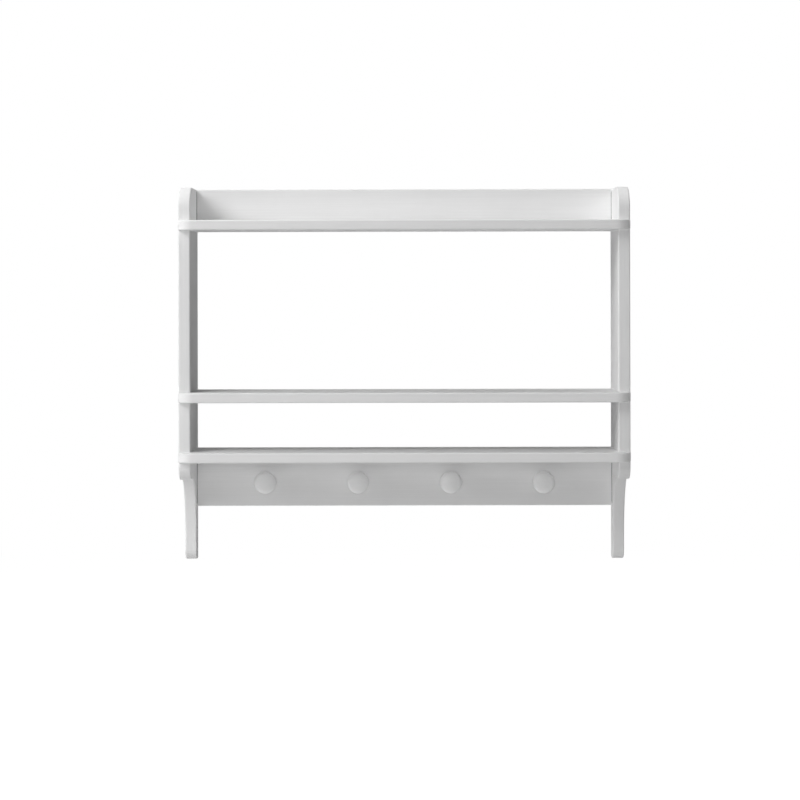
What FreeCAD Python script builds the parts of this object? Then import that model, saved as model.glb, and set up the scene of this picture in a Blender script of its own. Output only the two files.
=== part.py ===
import FreeCAD, Part
import math
import os
import re

import Sketcher
from FreeCAD import Placement, Rotation, Vector

# Wall-hung shaker peg rail with shelf, in painted board: two shaped side panels carry three
# identical shelves, a backboard above the top shelf and a peg board with four turned pegs
# below the bottom shelf. Blind dowels join the boards to the panels, countersunk screws driven
# from the wall side pull the backboard and the peg board onto the shelves' back edges, and two
# keyhole plates let into the backboard hang it on the wall.
# Millimetres, +X to the right, -Y towards the room, +Z up. The origin lies on the wall plane,
# midway between the round entries of the two keyholes.

SIZES = (
    ("overall_width", 680, "outer face to outer face of the side panels"),
    ("panel_thickness", 18, "side panels"),
    ("panel_depth", 111, "wall to the panels' front edge"),
    ("top_corner_radius", 36, "round at the panels' top front corner"),
    ("low_corner_radius", 22, "round of the panels' front under the bottom shelf"),
    ("step_drop", 28, "underside of the bottom shelf down to the step"),
    ("step_flat", 18, "flat of the step between the low round and the cove"),
    ("cove_height", 104, "half height of the oval that shapes the cove"),
    ("foot_depth", 20, "wall to the front of the foot"),
    ("foot_length", 27, "straight foot below the cove"),
    ("foot_corner_radius", 15, "round at the foot's lower front corner"),
    ("edge_round", 2, "softened edge of every board that shows"),
    ("shelf_thickness", 15, "all three shelves"),
    ("shelf_overhang", 19, "shelf front before the panels' front edge"),
    ("shelf_end_straight", 1, "straight end of a shelf between its round corner and the panel"),
    ("shelf_corner_width", 22, "shelf's oval corner along its front"),
    ("top_shelf_drop", 51, "top of the panels down to the top shelf"),
    ("upper_bay", 244, "clear height, top shelf to middle shelf"),
    ("lower_bay", 75, "clear height, middle shelf to bottom shelf"),
    ("board_thickness", 15, "backboard and peg board"),
    ("board_reveal", 2, "boards' hidden edges kept back from the shelf faces"),
    ("peg_board_height", 76, "peg board below the bottom shelf"),
    ("peg_head_radius", 17, "widest round of a peg's head"),
    ("peg_head_rise", 8.5, "widest round of the head to its crown"),
    ("peg_rim_radius", 7, "roundness of the head's rim"),
    ("peg_throat_radius", 7.5, "narrowest round of the neck"),
    ("peg_throat_length", 7, "board to the narrowest round of the neck"),
    ("peg_flare_length", 7, "narrowest round of the neck to the head"),
    ("peg_foot_radius", 10, "round where the peg stands on its board"),
    ("peg_tenon_radius", 6, "tenon in the peg board"),
    ("peg_tenon_setback", 0.5, "tenon end short of the wall face"),
    ("dowel_diameter", 8, "fluteless birch dowels"),
    ("dowel_length", 30, "all dowels"),
    ("dowel_depth", 12, "length of a dowel held in a side panel"),
    ("dowel_end_room", 0.5, "glue room past each end of a dowel"),
    ("dowel_end_bevel", 0.8, "bevel on both ends of a dowel"),
    ("glue_film", 0.05, "room around dowels, tenons and screws"),
    ("screw_radius", 2, "board screws, over the thread"),
    ("screw_head_radius", 4, "board screws, countersunk head"),
    ("screw_length", 40, "board screws"),
    ("screw_tip_length", 4, "board screws, pointed tip"),
    ("screw_recess", 1.4, "depth of the cross recess in a board screw"),
    ("screw_recess_half", 1.9, "half length of that recess"),
    ("screw_recess_arm", 0.45, "half width of that recess"),
    ("hang_drop", 30, "top of the panels down to the hanging line"),
    ("hanger_inset", 42, "middle of a keyhole from the side panel"),
    ("plate_thickness", 2, "keyhole plate"),
    ("plate_half_width", 9, "keyhole plate"),
    ("plate_screw_gap", 3, "end of the hollow to the middle of a plate screw"),
    ("plate_screw_margin", 4.5, "middle of a plate screw to the plate's end"),
    ("plate_room", 0.2, "room round the plate in its housing"),
    ("keyhole_radius", 4.75, "round entry for the wall screw's head"),
    ("keyhole_slot_radius", 2.4, "slot for the wall screw's shank"),
    ("keyhole_rise", 9, "round entry up to the end of the slot"),
    ("keyhole_side_room", 0.75, "hollow behind the plate wider than the round entry"),
    ("keyhole_room_depth", 9, "hollow behind the plate, from the wall face"),
    ("small_screw_radius", 1.5, "keyhole plate screws, over the thread"),
    ("small_screw_head_radius", 3, "keyhole plate screws, countersunk head"),
    ("small_screw_length", 11, "keyhole plate screws"),
    ("small_screw_tip_length", 3, "keyhole plate screws, pointed tip"),
    ("small_screw_recess", 0.9, "depth of the cross recess in a plate screw"),
    ("small_screw_recess_half", 1.4, "half length of that recess"),
    ("small_screw_recess_arm", 0.35, "half width of that recess"),
    ("cut_overrun", 5, "how far every cut runs past the solid"),
)

# Places along a board as shares of its length.
PEG_PLACE_SHARES = (1 / 6, 7 / 18, 11 / 18, 5 / 6)
SHELF_DOWEL_SHARES = (0.22, 0.78)
BOARD_DOWEL_SHARES = (0.25, 0.75)
BOARD_SCREW_SHARES = (0.15, 0.5, 0.85)

INNER_WIDTH = "(overall_width - 2 * panel_thickness)"
STACK_DROP = "(top_shelf_drop + upper_bay + lower_bay + 3 * shelf_thickness)"
FOOT_DROP = "(cove_height + foot_length)"
PANEL_HEIGHT = f"({STACK_DROP} + step_drop + {FOOT_DROP})"
BEARING = "(panel_depth - board_thickness)"
BACKBOARD_HEIGHT = "(top_shelf_drop + shelf_thickness - board_reveal)"
PEG_BOARD_FULL = "(peg_board_height + shelf_thickness - board_reveal)"
HALF_SPACING = f"({INNER_WIDTH} / 2 - hanger_inset)"
KEYHOLE_ROOM_RADIUS = "(keyhole_radius + keyhole_side_room)"
PLATE_SCREW_OFFSET = f"(keyhole_rise + {KEYHOLE_ROOM_RADIUS} + plate_screw_gap)"
PLATE_HALF_HEIGHT = f"({PLATE_SCREW_OFFSET} + plate_screw_margin)"

# Heights over the hanging line: each shelf's underside, and the lowest point of the feet.
SHELF_HEIGHTS = {
    "top_shelf": "(hang_drop - top_shelf_drop - shelf_thickness)",
    "middle_shelf": "(hang_drop - top_shelf_drop - upper_bay - 2 * shelf_thickness)",
    "bottom_shelf": f"(hang_drop - {STACK_DROP})",
}
FEET_HEIGHT = f"(hang_drop - {PANEL_HEIGHT})"
BACKBOARD_FOOT = f"(hang_drop - {BACKBOARD_HEIGHT})"
PEG_BOARD_FOOT = f"({SHELF_HEIGHTS['bottom_shelf']} - peg_board_height)"

doc = FreeCAD.newDocument("peg_rail_with_shelf")
sheet = doc.addObject("Spreadsheet::Sheet", "Sizes")
for row, (alias, size, meaning) in enumerate(SIZES, start=1):
    sheet.set(f"A{row}", alias)
    sheet.set(f"B{row}", str(size))
    sheet.set(f"C{row}", meaning)
    sheet.setAlias(f"B{row}", alias)
doc.recompute()

# Lengths nearer to each other than this share of the softened edge count as the same.
CLOSE_SHARE = 1e-4


def bound(formula):
    """The formula with every size named as a cell of the sheet."""
    return re.sub(r"[a-z]+(?:_[a-z]+)+", lambda word: "Sizes." + word.group(0), formula)


def number(formula):
    """The formula's value from the sheet."""
    return float(sheet.evalExpression(bound(formula)))


CLOSE = CLOSE_SHARE * number("edge_round")


def place(item, across="0", deep="0", high="0", turn=Rotation()):
    """Put an object at a place given by formulas, turned as asked."""
    item.Placement = Placement(Vector(number(across), number(deep), number(high)), turn)
    for axis, formula in (("x", across), ("y", deep), ("z", high)):
        if formula != "0":
            item.setExpression(f"Placement.Base.{axis}", bound(formula))


def new_body(name):
    body = doc.addObject("PartDesign::Body", name)
    body.Label = name
    return body


def new_sketch(body, name, role, offset="0"):
    """A sketch on one of the body's own origin planes, moved along its normal by a formula."""
    sketch = body.newObject("Sketcher::SketchObject", name)
    plane = next(item for item in body.Origin.OriginFeatures if item.Role == role)
    sketch.AttachmentSupport = [(plane, "")]
    sketch.MapMode = "FlatFace"
    if offset != "0":
        sketch.setExpression("AttachmentOffset.Base.z", bound(offset))
    return sketch


def pin(sketch, geometry, point, spot):
    """Hold a point of the sketch at a spot given by two formulas."""
    for kind, axis, formula in (("DistanceX", -2, spot[0]), ("DistanceY", -1, spot[1])):
        if formula == "0":
            sketch.addConstraint(Sketcher.Constraint("PointOnObject", geometry, point, axis))
        else:
            rule = Sketcher.Constraint(kind, -1, 1, geometry, point, number(formula))
            index = sketch.addConstraint(rule)
            sketch.setExpression(f"Constraints[{index}]", bound(formula))


def spot_vector(spot):
    return Vector(number(spot[0]), number(spot[1]), 0)


def round_edge(start, end, centre, through):
    """A circular edge about a centre; through is needed only for a half circle or more."""
    if through is None:
        way = (start + end) * 0.5 - centre
        middle = centre + way.normalize() * start.distanceToPoint(centre)
    else:
        middle = spot_vector(through)
    return Part.Arc(start, middle, end)


def oval_edge(start, end, centre):
    """A quarter of an upright or lying oval about a centre."""
    far, near = sorted((start, end), key=centre.distanceToPoint, reverse=True)
    across = Vector(0, 0, 1).cross(far - centre).normalize() * near.distanceToPoint(centre)
    oval = Part.Ellipse(far, centre + across, centre)
    first, last = oval.parameter(far), oval.parameter(near)
    if last > math.pi:
        first, last = last, first + 2 * math.pi
    return Part.ArcOfEllipse(oval, first, last)


def draw_outline(sketch, corners, rounds=None, ovals=None):
    """A closed outline through the corners, in order, each held in its place.

    rounds gives the edges, counted by their first corner, that are circular: each has its
    centre, and a point it passes through where it is half a circle or more. ovals gives the
    edges that are a quarter of an oval, with its centre.
    """
    rounds = rounds or {}
    ovals = ovals or {}
    spots = [spot_vector(corner) for corner in corners]
    ends = []
    for index, start in enumerate(spots):
        end = spots[(index + 1) % len(spots)]
        if index in ovals:
            edge = oval_edge(start, end, spot_vector(ovals[index]))
        elif index in rounds:
            edge = round_edge(start, end, spot_vector(rounds[index][0]), rounds[index][1])
        else:
            edge = Part.LineSegment(start, end)
        sketch.addGeometry(edge)
        near_first = sketch.getPoint(index, 1).distanceToPoint(start)
        near_second = sketch.getPoint(index, 2).distanceToPoint(start)
        ends.append((1, 2) if near_first < near_second else (2, 1))
    for index, corner in enumerate(corners):
        after = (index + 1) % len(corners)
        joint = Sketcher.Constraint("Coincident", index, ends[index][1], after, ends[after][0])
        sketch.addConstraint(joint)
        pin(sketch, index, ends[index][0], corner)
    for index, (centre, through) in rounds.items():
        hold_centre_height(sketch, index, centre[1])
    for index, centre in ovals.items():
        pin(sketch, index, 3, centre)
        start, end = spots[index], spots[(index + 1) % len(spots)]
        middle = spot_vector(centre)
        far = max((start, end), key=middle.distanceToPoint)
        direction = "Vertical" if abs(far.y - middle.y) > abs(far.x - middle.x) else "Horizontal"
        axis = sketch.GeometryCount
        sketch.exposeInternalGeometry(index)
        sketch.addConstraint(Sketcher.Constraint(direction, axis))


def hold_centre_height(sketch, geometry, formula):
    """Hold only the height of a round edge's centre, because its ends settle the rest."""
    if formula == "0":
        sketch.addConstraint(Sketcher.Constraint("PointOnObject", geometry, 3, -1))
        return
    rule = Sketcher.Constraint("DistanceY", -1, 1, geometry, 3, number(formula))
    index = sketch.addConstraint(rule)
    sketch.setExpression(f"Constraints[{index}]", bound(formula))


def draw_circles(sketch, centres, radius):
    for index, centre in enumerate(centres):
        sketch.addGeometry(Part.Circle(spot_vector(centre), Vector(0, 0, 1), number(radius)))
        pin(sketch, index, 3, centre)
        if index:
            sketch.addConstraint(Sketcher.Constraint("Equal", 0, index))
            continue
        rule = sketch.addConstraint(Sketcher.Constraint("Radius", 0, number(radius)))
        sketch.setExpression(f"Constraints[{rule}]", bound(radius))


def pad(body, name, sketch, length, reverse=False):
    feature = body.newObject("PartDesign::Pad", name)
    feature.Profile = sketch
    feature.setExpression("Length", bound(length))
    feature.Reversed = reverse
    doc.recompute()


def pocket(body, name, sketch, depth, reverse=False):
    """Cut a sketch into the body, and make sure that something came away."""
    before = body.Shape.Volume
    feature = body.newObject("PartDesign::Pocket", name)
    feature.Profile = sketch
    feature.setExpression("Length", bound(depth))
    feature.Reversed = reverse
    doc.recompute()
    if body.Shape.Volume >= before:
        raise RuntimeError(f"{body.Label}: {name} cut nothing")


def revolve(body, name, sketch):
    """A full turn of the sketch about its upright axis."""
    feature = body.newObject("PartDesign::Revolution", name)
    feature.Profile = sketch
    feature.ReferenceAxis = (sketch, ["V_Axis"])
    feature.Angle = 360
    doc.recompute()


def soften(body, name, wanted):
    """Round over every edge of the body that wanted accepts, by its bounding box."""
    tip = body.Tip
    names = [
        f"Edge{index}"
        for index, edge in enumerate(tip.Shape.Edges, start=1)
        if wanted(edge.BoundBox)
    ]
    feature = body.newObject("PartDesign::Fillet", name)
    feature.Base = (tip, names)
    feature.setExpression("Radius", bound("edge_round"))
    doc.recompute()


def drill(body, name, plane, centres, radius, depth, inward, sink=None):
    """Drill flat-bottomed round holes from a plane; sink is the radius of a countersink.

    plane is an origin plane's role and a formula for its offset. inward is True where the
    wood lies on the side that the plane's normal points to.
    """
    sketch = new_sketch(body, name + "_marks", plane[0], plane[1])
    draw_circles(sketch, centres, radius)
    doc.recompute()
    pocket(body, name, sketch, depth, inward)
    if sink is None:
        return
    rims = [
        f"Edge{index}"
        for index, edge in enumerate(body.Tip.Shape.Edges, start=1)
        if is_rim(edge, sketch, centres, radius)
    ]
    if len(rims) != len(centres):
        raise RuntimeError(f"{body.Label}: {name} has {len(rims)} rims to sink")
    tip = body.Tip
    feature = body.newObject("PartDesign::Chamfer", name + "_sinks")
    feature.Base = (tip, rims)
    feature.setExpression("Size", bound(f"({sink}) - ({radius})"))
    doc.recompute()


def is_rim(edge, sketch, centres, radius):
    """True for a whole circle of the radius that lies on the sketch at one of the centres."""
    if not isinstance(edge.Curve, Part.Circle) or len(edge.Vertexes) != 1:
        return False
    if not same(edge.Curve.Radius, number(radius)):
        return False
    spots = [sketch.Placement.multVec(spot_vector(centre)) for centre in centres]
    return any(edge.Curve.Center.distanceToPoint(spot) < CLOSE for spot in spots)


def same(first, second):
    return abs(first - second) < CLOSE


# Side panels. Local frame: x = 0 on the inner face, y = 0 on the front edge, z = 0 at the foot.
STEP_HEIGHT = FOOT_DROP
LOW_CORNER_HEIGHT = f"({FOOT_DROP} + low_corner_radius)"
FOOT_FRONT = "(panel_depth - foot_depth)"
FOOT_CORNER_END = f"({FOOT_FRONT} + foot_corner_radius)"
COVE_START = "(low_corner_radius + step_flat)"
TOP_CORNER_HEIGHT = f"({PANEL_HEIGHT} - top_corner_radius)"


def panel_height_of(formula):
    """A height over the hanging line, as a height over the panels' foot."""
    return f"({formula} - {FEET_HEIGHT})"


def dowel_spots_in_panel():
    """Where dowels enter a panel, as depth from the front edge and height over the foot."""
    spots = []
    for height in SHELF_HEIGHTS.values():
        for share in SHELF_DOWEL_SHARES:
            middle = panel_height_of(f"({height} + shelf_thickness / 2)")
            spots.append((f"({share} * {BEARING})", middle))
    for foot, full in ((BACKBOARD_FOOT, BACKBOARD_HEIGHT), (PEG_BOARD_FOOT, PEG_BOARD_FULL)):
        for share in BOARD_DOWEL_SHARES:
            middle = panel_height_of(f"({foot} + {share} * {full})")
            spots.append(("(panel_depth - board_thickness / 2)", middle))
    return spots


def side_panel(name, right):
    body = new_body(name)
    outline = new_sketch(body, name + "_outline", "YZ_Plane")
    corners = (
        ("panel_depth", PANEL_HEIGHT),
        ("top_corner_radius", PANEL_HEIGHT),
        ("0", TOP_CORNER_HEIGHT),
        ("0", LOW_CORNER_HEIGHT),
        ("low_corner_radius", STEP_HEIGHT),
        (COVE_START, STEP_HEIGHT),
        (FOOT_FRONT, "foot_length"),
        (FOOT_FRONT, "foot_corner_radius"),
        (FOOT_CORNER_END, "0"),
        ("panel_depth", "0"),
    )
    rounds = {
        1: (("top_corner_radius", TOP_CORNER_HEIGHT), None),
        3: (("low_corner_radius", LOW_CORNER_HEIGHT), None),
        7: ((FOOT_CORNER_END, "foot_corner_radius"), None),
    }
    ovals = {5: (COVE_START, "foot_length")}
    draw_outline(outline, corners, rounds, ovals)
    pad(body, name + "_board", outline, "panel_thickness", reverse=not right)
    back = number("panel_depth")

    def is_shaped_edge(box):
        return box.XLength < CLOSE and box.YMin < back - CLOSE

    soften(body, name + "_edges", is_shaped_edge)
    drill(
        body,
        name + "_dowel_holes",
        ("YZ_Plane", "0"),
        dowel_spots_in_panel(),
        "(dowel_diameter / 2)",
        "(dowel_depth + dowel_end_room)",
        right,
    )
    side = "" if right else "-"
    place(body, f"{side}{INNER_WIDTH} / 2", "-panel_depth", FEET_HEIGHT)
    return body


# Shelves. Local frame: x = 0 at the left end of the nosing, y = 0 on the front, z = 0 below.
CORNER_DEPTH = "(shelf_overhang - shelf_end_straight)"
CORNER_START = "(overall_width - shelf_corner_width)"
FAR_END = "(overall_width - panel_thickness)"
SHELF_DEPTH = f"(shelf_overhang + {BEARING})"
DOWEL_IN_BOARD = "(dowel_length - dowel_depth + dowel_end_room)"
SCREW_IN_SHELF = "(screw_length - board_thickness + dowel_end_room)"


def drill_board_ends(body, name, ends, centres):
    """Dowel holes in both ends of a board that runs between the panels."""
    for side, end, inward in (("left", ends[0], True), ("right", ends[1], False)):
        drill(
            body,
            f"{name}_{side}_dowel_holes",
            ("YZ_Plane", end),
            centres,
            "(dowel_diameter / 2)",
            DOWEL_IN_BOARD,
            inward,
        )


def shelf(name, screwed):
    body = new_body(name)
    outline = new_sketch(body, name + "_outline", "XY_Plane")
    corners = (
        ("shelf_corner_width", "0"),
        (CORNER_START, "0"),
        ("overall_width", CORNER_DEPTH),
        ("overall_width", "shelf_overhang"),
        (FAR_END, "shelf_overhang"),
        (FAR_END, SHELF_DEPTH),
        ("panel_thickness", SHELF_DEPTH),
        ("panel_thickness", "shelf_overhang"),
        ("0", "shelf_overhang"),
        ("0", CORNER_DEPTH),
    )
    ovals = {
        1: (CORNER_START, CORNER_DEPTH),
        9: ("shelf_corner_width", CORNER_DEPTH),
    }
    draw_outline(outline, corners, {}, ovals)
    pad(body, name + "_board", outline, "shelf_thickness")
    nosing = number("shelf_overhang")

    def is_nosing_edge(box):
        return box.ZLength < CLOSE and box.YMin < nosing - CLOSE and box.YMax < nosing + CLOSE

    soften(body, name + "_edges", is_nosing_edge)
    middle = "(shelf_thickness / 2)"
    drill_board_ends(
        body,
        name,
        ("panel_thickness", FAR_END),
        [(f"(shelf_overhang + {share} * {BEARING})", middle) for share in SHELF_DOWEL_SHARES],
    )
    if screwed:
        drill(
            body,
            name + "_screw_holes",
            ("XZ_Plane", f"(-{SHELF_DEPTH})"),
            [
                (f"(panel_thickness + {share} * {INNER_WIDTH})", middle)
                for share in BOARD_SCREW_SHARES
            ],
            "(screw_radius + glue_film)",
            SCREW_IN_SHELF,
            True,
        )
    front = "(-panel_depth - shelf_overhang)"
    place(body, "(-overall_width / 2)", front, SHELF_HEIGHTS[name])
    return body


# Backboard and peg board. Local frame: x = 0 at the left end, y = 0 on the wall face, z = 0 below.
def rail_board(name, full_height, screw_height, rounded_top):
    """A board between the panels, screwed from the wall side to a shelf's back edge."""
    body = new_body(name)
    outline = new_sketch(body, name + "_outline", "XZ_Plane")
    corners = (
        ("0", "0"),
        (INNER_WIDTH, "0"),
        (INNER_WIDTH, full_height),
        ("0", full_height),
    )
    draw_outline(outline, corners)
    pad(body, name + "_board", outline, "board_thickness")
    length = number(INNER_WIDTH)
    shown = number(full_height) if rounded_top else 0

    def is_shown_edge(box):
        return same(box.XLength, length) and box.YMax < -CLOSE and same(box.ZMin, shown)

    soften(body, name + "_edges", is_shown_edge)
    drill_board_ends(
        body,
        name,
        ("0", INNER_WIDTH),
        [("(-board_thickness / 2)", f"({share} * {full_height})") for share in BOARD_DOWEL_SHARES],
    )
    drill(
        body,
        name + "_screw_holes",
        ("XZ_Plane", "0"),
        [(f"({share} * {INNER_WIDTH})", screw_height) for share in BOARD_SCREW_SHARES],
        "(screw_radius + glue_film)",
        "(board_thickness + cut_overrun)",
        True,
        sink="(screw_head_radius + glue_film)",
    )
    return body


def backboard():
    body = rail_board("backboard", BACKBOARD_HEIGHT, "(shelf_thickness / 2 - board_reveal)", True)
    centre_high = f"({BACKBOARD_HEIGHT} - hang_drop)"
    for side, sign in (("left", "-"), ("right", "+")):
        centre = f"({INNER_WIDTH} / 2 {sign} {HALF_SPACING})"
        housing = new_sketch(body, f"backboard_{side}_housing_outline", "XZ_Plane")
        reach = "(plate_half_width + plate_room)"
        rise = f"({PLATE_HALF_HEIGHT} + plate_room)"
        corners = (
            (f"({centre} - {reach})", f"({centre_high} - {rise})"),
            (f"({centre} + {reach})", f"({centre_high} - {rise})"),
            (f"({centre} + {reach})", f"({centre_high} + {rise})"),
            (f"({centre} - {reach})", f"({centre_high} + {rise})"),
        )
        draw_outline(housing, corners)
        pocket(body, f"backboard_{side}_housing", housing, "plate_thickness", True)
        hollow = new_sketch(body, f"backboard_{side}_hollow_outline", "XZ_Plane")
        room = KEYHOLE_ROOM_RADIUS
        corners = (
            (f"({centre} - {room})", centre_high),
            (f"({centre} + {room})", centre_high),
            (f"({centre} + {room})", f"({centre_high} + keyhole_rise)"),
            (f"({centre} - {room})", f"({centre_high} + keyhole_rise)"),
        )
        rounds = {
            0: ((centre, centre_high), (centre, f"({centre_high} - {room})")),
            2: (
                (centre, f"({centre_high} + keyhole_rise)"),
                (centre, f"({centre_high} + keyhole_rise + {room})"),
            ),
        }
        draw_outline(hollow, corners, rounds)
        pocket(body, f"backboard_{side}_hollow", hollow, "keyhole_room_depth", True)
        drill(
            body,
            f"backboard_{side}_plate_screw_holes",
            ("XZ_Plane", "0"),
            [
                (centre, f"({centre_high} - {PLATE_SCREW_OFFSET})"),
                (centre, f"({centre_high} + {PLATE_SCREW_OFFSET})"),
            ],
            "(small_screw_radius + glue_film)",
            "(small_screw_length + dowel_end_room)",
            True,
        )
    place(body, f"(-{INNER_WIDTH} / 2)", "0", BACKBOARD_FOOT)
    return body


PEG_HEIGHT_ON_BOARD = "(peg_board_height / 2)"


def peg_board():
    screw_height = "(peg_board_height + shelf_thickness / 2)"
    body = rail_board("peg_board", PEG_BOARD_FULL, screw_height, False)
    drill(
        body,
        "peg_board_tenon_holes",
        ("XZ_Plane", "0"),
        [(f"({share} * {INNER_WIDTH})", PEG_HEIGHT_ON_BOARD) for share in PEG_PLACE_SHARES],
        "(peg_tenon_radius + glue_film)",
        "(board_thickness + cut_overrun)",
        True,
    )
    place(body, f"(-{INNER_WIDTH} / 2)", "0", PEG_BOARD_FOOT)
    return body


# Pegs. Local frame: the axis is y, and y = 0 on the board's face, with the head towards +y.
HEAD_START = "(peg_throat_length + peg_flare_length)"
HEAD_WIDEST = f"({HEAD_START} + peg_rim_radius)"
FLARE_RADIUS = "(peg_head_radius - peg_rim_radius)"
# The dome that runs into the rim without a crease, and the place where they meet.
DOME_RADIUS = (
    f"(({FLARE_RADIUS} ^ 2 + peg_head_rise ^ 2 - peg_rim_radius ^ 2)"
    " / (2 * (peg_head_rise - peg_rim_radius)))"
)
DOME_SHARE = f"(peg_rim_radius / ({DOME_RADIUS} - peg_rim_radius))"
DOME_EDGE = (
    f"({FLARE_RADIUS} * (1 + {DOME_SHARE}))",
    f"({HEAD_WIDEST} + ({DOME_RADIUS} - peg_head_rise) * {DOME_SHARE})",
)
HALF_TURN = Rotation(Vector(0, 0, 1), 180)


def peg(name, share):
    body = new_body(name)
    outline = new_sketch(body, name + "_outline", "XY_Plane")
    tenon_end = "(peg_tenon_setback - board_thickness)"
    corners = (
        ("0", tenon_end),
        ("peg_tenon_radius", tenon_end),
        ("peg_tenon_radius", "0"),
        ("peg_foot_radius", "0"),
        ("peg_throat_radius", "peg_throat_length"),
        (FLARE_RADIUS, HEAD_START),
        DOME_EDGE,
        ("0", f"({HEAD_WIDEST} + peg_head_rise)"),
    )
    slimming = "(peg_foot_radius - peg_throat_radius)"
    hollow = f"((peg_throat_length ^ 2 + {slimming} ^ 2) / (2 * {slimming}))"
    rounds = {
        3: ((f"(peg_throat_radius + {hollow})", "peg_throat_length"), None),
        5: ((FLARE_RADIUS, HEAD_WIDEST), ("peg_head_radius", HEAD_WIDEST)),
        6: (("0", f"({HEAD_WIDEST} + peg_head_rise - {DOME_RADIUS})"), None),
    }
    ovals = {4: (FLARE_RADIUS, "peg_throat_length")}
    draw_outline(outline, corners, rounds, ovals)
    revolve(body, name + "_turning", outline)
    across = f"(({share}) * {INNER_WIDTH} - {INNER_WIDTH} / 2)"
    high = f"({PEG_BOARD_FOOT} + {PEG_HEIGHT_ON_BOARD})"
    place(body, across, "(-board_thickness)", high, HALF_TURN)
    return body


# Fasteners. Each kind is made once, along its own y axis, and copied to its places.
def countersunk_screw(name, size):
    """A countersunk wood screw with a cross recess; its head's face is at y = 0."""
    body = new_body(name)
    outline = new_sketch(body, name + "_outline", "XY_Plane")
    radius, head, length, tip = (
        f"{size}_radius", f"{size}_head_radius", f"{size}_length", f"{size}_tip_length"
    )
    corners = (
        ("0", "0"),
        (head, "0"),
        (radius, f"({head} - {radius})"),
        (radius, f"({length} - {tip})"),
        ("0", length),
    )
    draw_outline(outline, corners)
    revolve(body, name + "_turning", outline)
    arm, half = f"{size}_recess_arm", f"{size}_recess_half"
    cross = new_sketch(body, name + "_recess_outline", "XZ_Plane")
    corners = (
        (f"(-{arm})", f"(-{half})"), (arm, f"(-{half})"), (arm, f"(-{arm})"),
        (half, f"(-{arm})"), (half, arm), (arm, arm),
        (arm, half), (f"(-{arm})", half), (f"(-{arm})", arm),
        (f"(-{half})", arm), (f"(-{half})", f"(-{arm})"), (f"(-{arm})", f"(-{arm})"),
    )
    draw_outline(cross, corners)
    pocket(body, name + "_recess", cross, f"{size}_recess")
    return body


def dowel():
    """A plain dowel with bevelled ends, from y = 0."""
    body = new_body("dowel")
    outline = new_sketch(body, "dowel_outline", "XY_Plane")
    radius = "(dowel_diameter / 2 - glue_film)"
    corners = (
        ("0", "0"),
        (f"({radius} - dowel_end_bevel)", "0"),
        (radius, "dowel_end_bevel"),
        (radius, "(dowel_length - dowel_end_bevel)"),
        (f"({radius} - dowel_end_bevel)", "dowel_length"),
        ("0", "dowel_length"),
    )
    draw_outline(outline, corners)
    revolve(body, "dowel_turning", outline)
    return body


def copies(name, master, turn, spots):
    """One node of separate solids: the master turned and set at each spot."""
    solids = []
    for across, deep, high in spots:
        solid = master.Shape.copy()
        solid.Placement = Placement(
            Vector(number(across), number(deep), number(high)), turn
        ).multiply(master.Shape.Placement)
        solids.append(solid)
    group = doc.addObject("Part::Feature", name)
    group.Shape = Part.makeCompound(solids)
    group.Label = name
    return group


POINTING_RIGHT = Rotation(Vector(0, 0, 1), -90)
LEFT_DOWEL_START = f"(-{INNER_WIDTH} / 2 - dowel_depth)"
RIGHT_DOWEL_START = f"({INNER_WIDTH} / 2 + dowel_depth - dowel_length)"


def dowels_at_both_ends(name, master, places):
    """Dowels through both ends of a board, at places given as depth and height."""
    spots = []
    for start in (LEFT_DOWEL_START, RIGHT_DOWEL_START):
        spots += [(start, deep, high) for deep, high in places]
    return copies(name, master, POINTING_RIGHT, spots)


def shelf_dowels(shelf_name, master):
    middle = f"({SHELF_HEIGHTS[shelf_name]} + shelf_thickness / 2)"
    places = [(f"(-panel_depth + {share} * {BEARING})", middle) for share in SHELF_DOWEL_SHARES]
    return dowels_at_both_ends(shelf_name + "_dowels", master, places)


def board_dowels(board_name, master, foot, full_height):
    places = [
        ("(-board_thickness / 2)", f"({foot} + {share} * {full_height})")
        for share in BOARD_DOWEL_SHARES
    ]
    return dowels_at_both_ends(board_name + "_dowels", master, places)


def board_screws(board_name, master, shelf_name):
    middle = f"({SHELF_HEIGHTS[shelf_name]} + shelf_thickness / 2)"
    spots = [
        (f"({share} * {INNER_WIDTH} - {INNER_WIDTH} / 2)", "0", middle)
        for share in BOARD_SCREW_SHARES
    ]
    return copies(board_name + "_screws", master, HALF_TURN, spots)


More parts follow.
